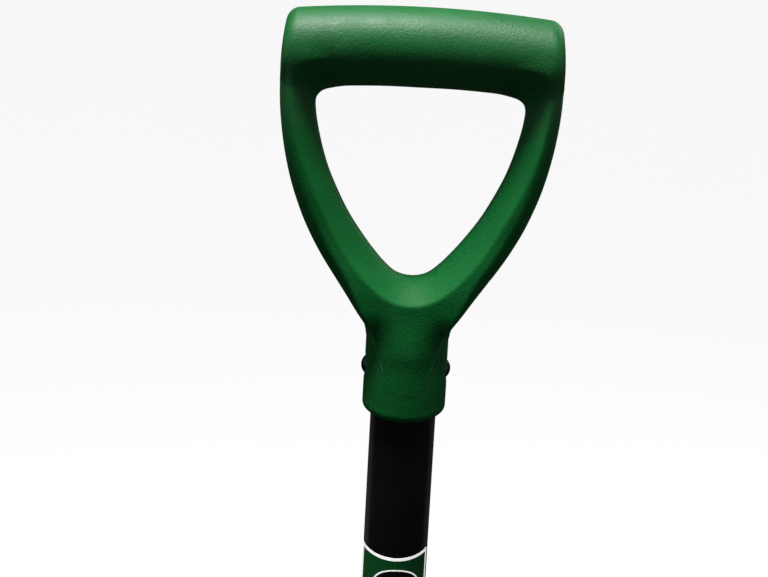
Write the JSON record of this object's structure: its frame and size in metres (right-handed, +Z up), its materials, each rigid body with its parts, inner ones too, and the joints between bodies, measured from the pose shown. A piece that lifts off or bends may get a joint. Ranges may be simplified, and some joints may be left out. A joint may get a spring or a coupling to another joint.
{
  "type": "post hole digger",
  "caption": "Single-shaft post hole digger: D-shaped top grip, straight tubular shaft, one fixed bowed blade and a second bowed blade swung shut by a hand lever.",
  "frame": {"origin": "on the shaft's axis at the level of the blade tips", "axes": "+Z up the shaft, +X along the D grip's bar and the hinge line, +Y from the shaft towards the fixed blade"},
  "size_m": [0.1348, 0.1926, 1.22],
  "materials": {
    "grip_plastic": "satin moulded polypropylene with a fine grained texture",
    "lever_grip_plastic": "satin moulded plastic, ribbed",
    "tube_enamel": "semi-gloss black enamel",
    "label_film": "printed film",
    "yoke_iron": "black dipped casting",
    "blade_enamel": "powder coat, bare along the cutting edge",
    "rivet_dark": "dark plated",
    "rivet_steel": "bare",
    "zinc_steel": "zinc plated",
    "bush_bronze": "plain bearing bronze"
  },
  "bodies": {
    "shaft": {"d_grip": "grip_plastic", "grip_rivet": "rivet_dark", "shaft_tube": "tube_enamel", "shaft_label": "label_film", "fixed_yoke": "yoke_iron", "shaft_bolts": "zinc_steel", "shaft_washers": "zinc_steel", "shaft_nuts": "zinc_steel", "fixed_blade": "blade_enamel", "fixed_blade_rivets": "rivet_steel", "hinge_bolts": "zinc_steel", "hinge_head_washers": "zinc_steel", "hinge_thrust_washers": "bush_bronze", "hinge_nut_washers": "zinc_steel", "hinge_nuts": "zinc_steel"},
    "jaw": {"moving_yoke": "yoke_iron", "moving_blade": "blade_enamel", "moving_blade_rivets": "rivet_steel", "hinge_bushes": "bush_bronze", "lever_tube": "tube_enamel", "lever_bolt": "zinc_steel", "lever_washers": "zinc_steel", "lever_nut": "zinc_steel", "lever_grip": "lever_grip_plastic"}
  },
  "joints": [
    {"name": "jaw_pivot", "type": "hinge", "parent": "shaft", "child": "jaw", "pos_m": [0, 0, 0.325], "axis": [1, 0, 0], "range_deg": [0, 26]}
  ]
}
